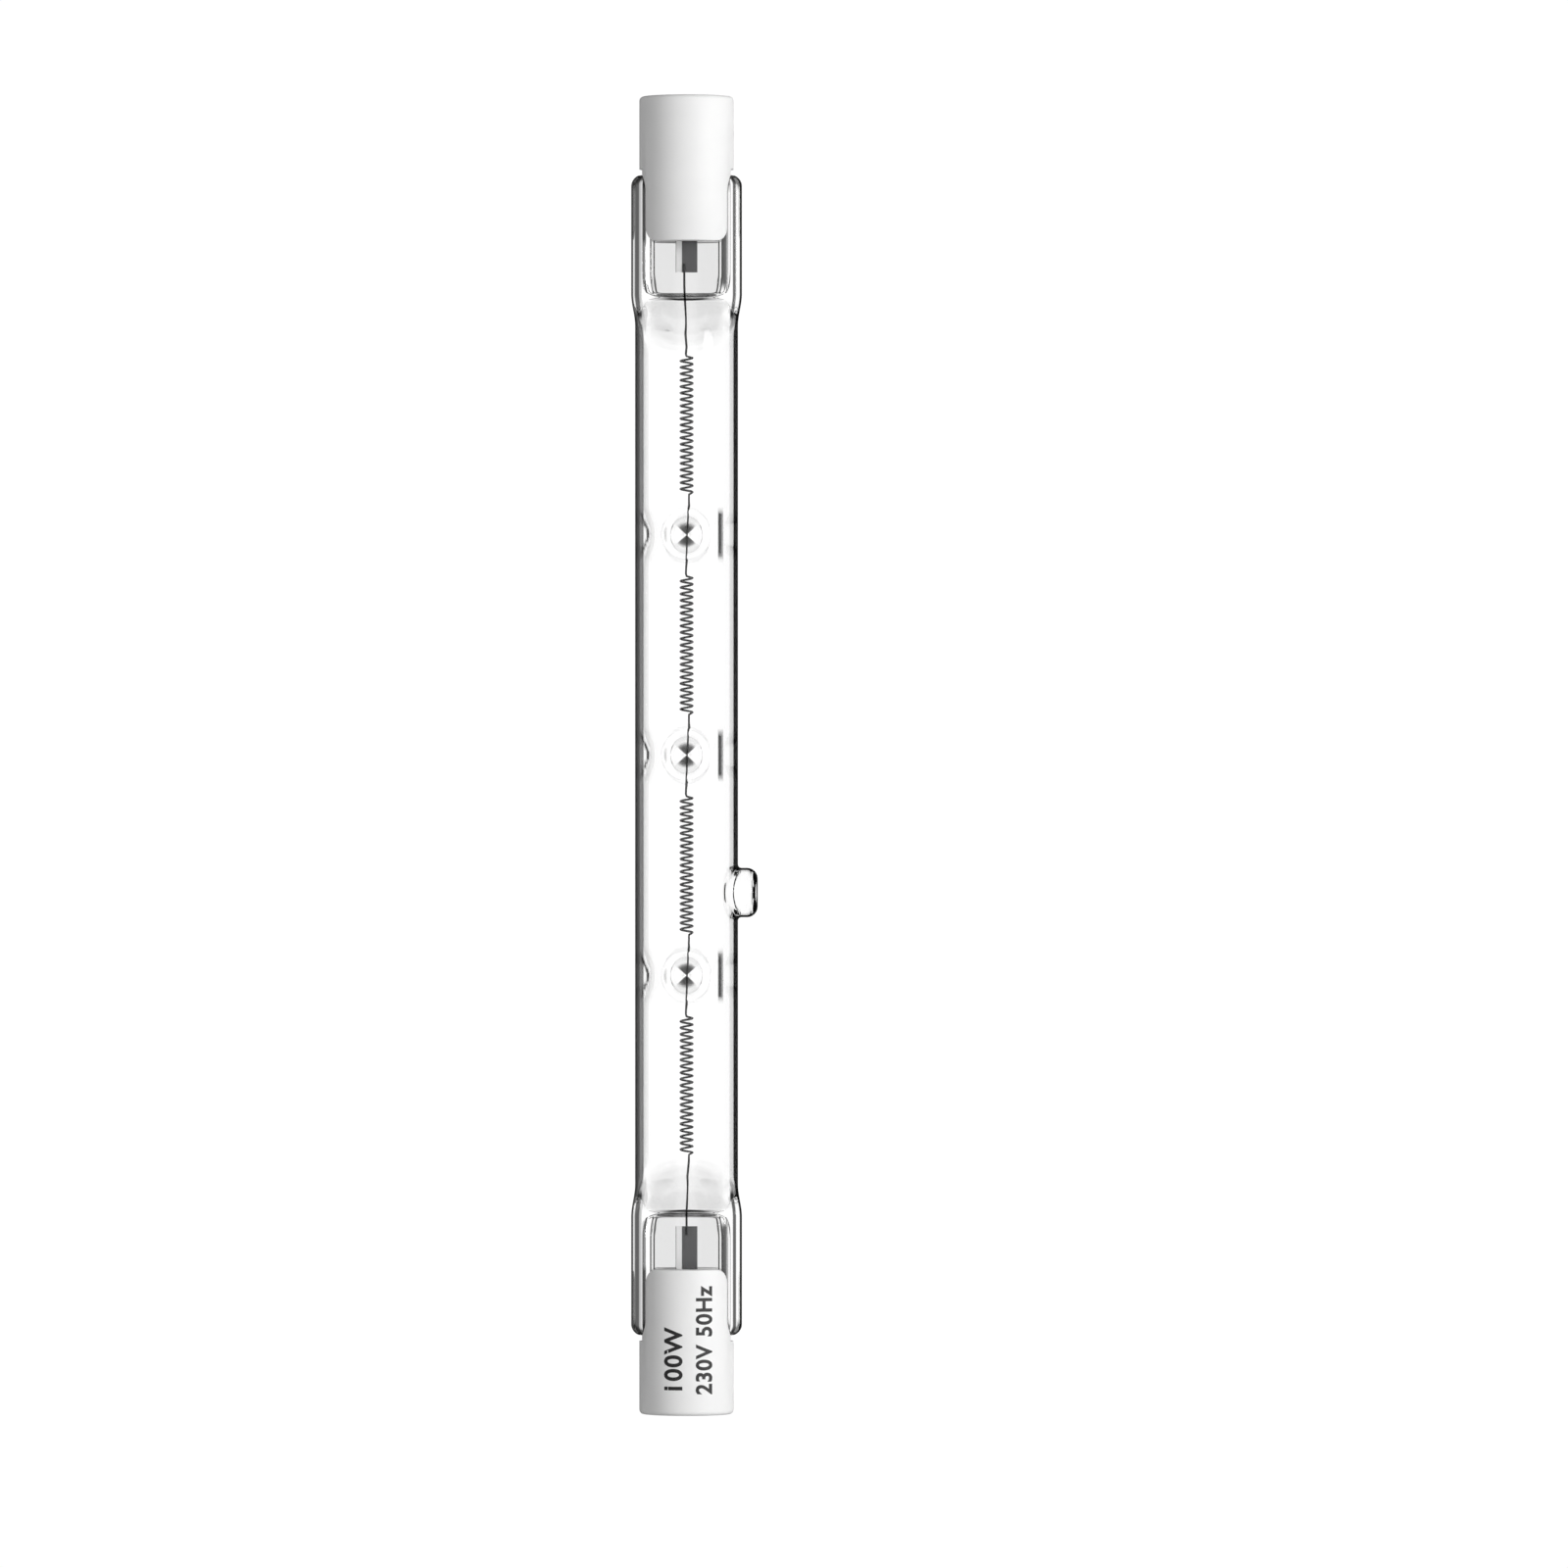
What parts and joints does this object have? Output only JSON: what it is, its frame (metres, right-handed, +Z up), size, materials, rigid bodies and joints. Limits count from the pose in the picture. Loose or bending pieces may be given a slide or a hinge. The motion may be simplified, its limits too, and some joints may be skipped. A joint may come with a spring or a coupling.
{
  "type": "linear halogen bulb",
  "caption": "Double-ended linear halogen lamp: a clear dimpled quartz tube with flat pinch seals, a coiled filament and white ceramic end caps with recessed contacts.",
  "frame": {"origin": "on the lamp's axis, half way between the ends of the caps, which is the centroid to within a tenth of a millimetre", "axes": "+Y along the lamp towards the picture's bottom end, -X to the side that the stub of the exhaust tube is on, +Z up from the floor; the flat pinch seals and the stub are rolled about Y by 27.9 degrees, stub down, as the lamp comes to rest"},
  "size_m": [0.0109, 0.1176, 0.0092],
  "materials": {
    "quartz": "clear polished",
    "tungsten": "drawn wire",
    "molybdenum": "rolled",
    "ceramic": "satin white",
    "contact_metal": "bright",
    "cement": "matt"
  },
  "bodies": {
    "root": {"glass_envelope": "quartz", "filament": "tungsten", "molybdenum_foil_a": "molybdenum", "outer_lead_a": "molybdenum", "ceramic_cap_a": "ceramic", "contact_button_a": "contact_metal", "cement_a": "cement", "molybdenum_foil_b": "molybdenum", "outer_lead_b": "molybdenum", "ceramic_cap_b": "ceramic", "contact_button_b": "contact_metal", "cement_b": "cement"}
  },
  "joints": []
}
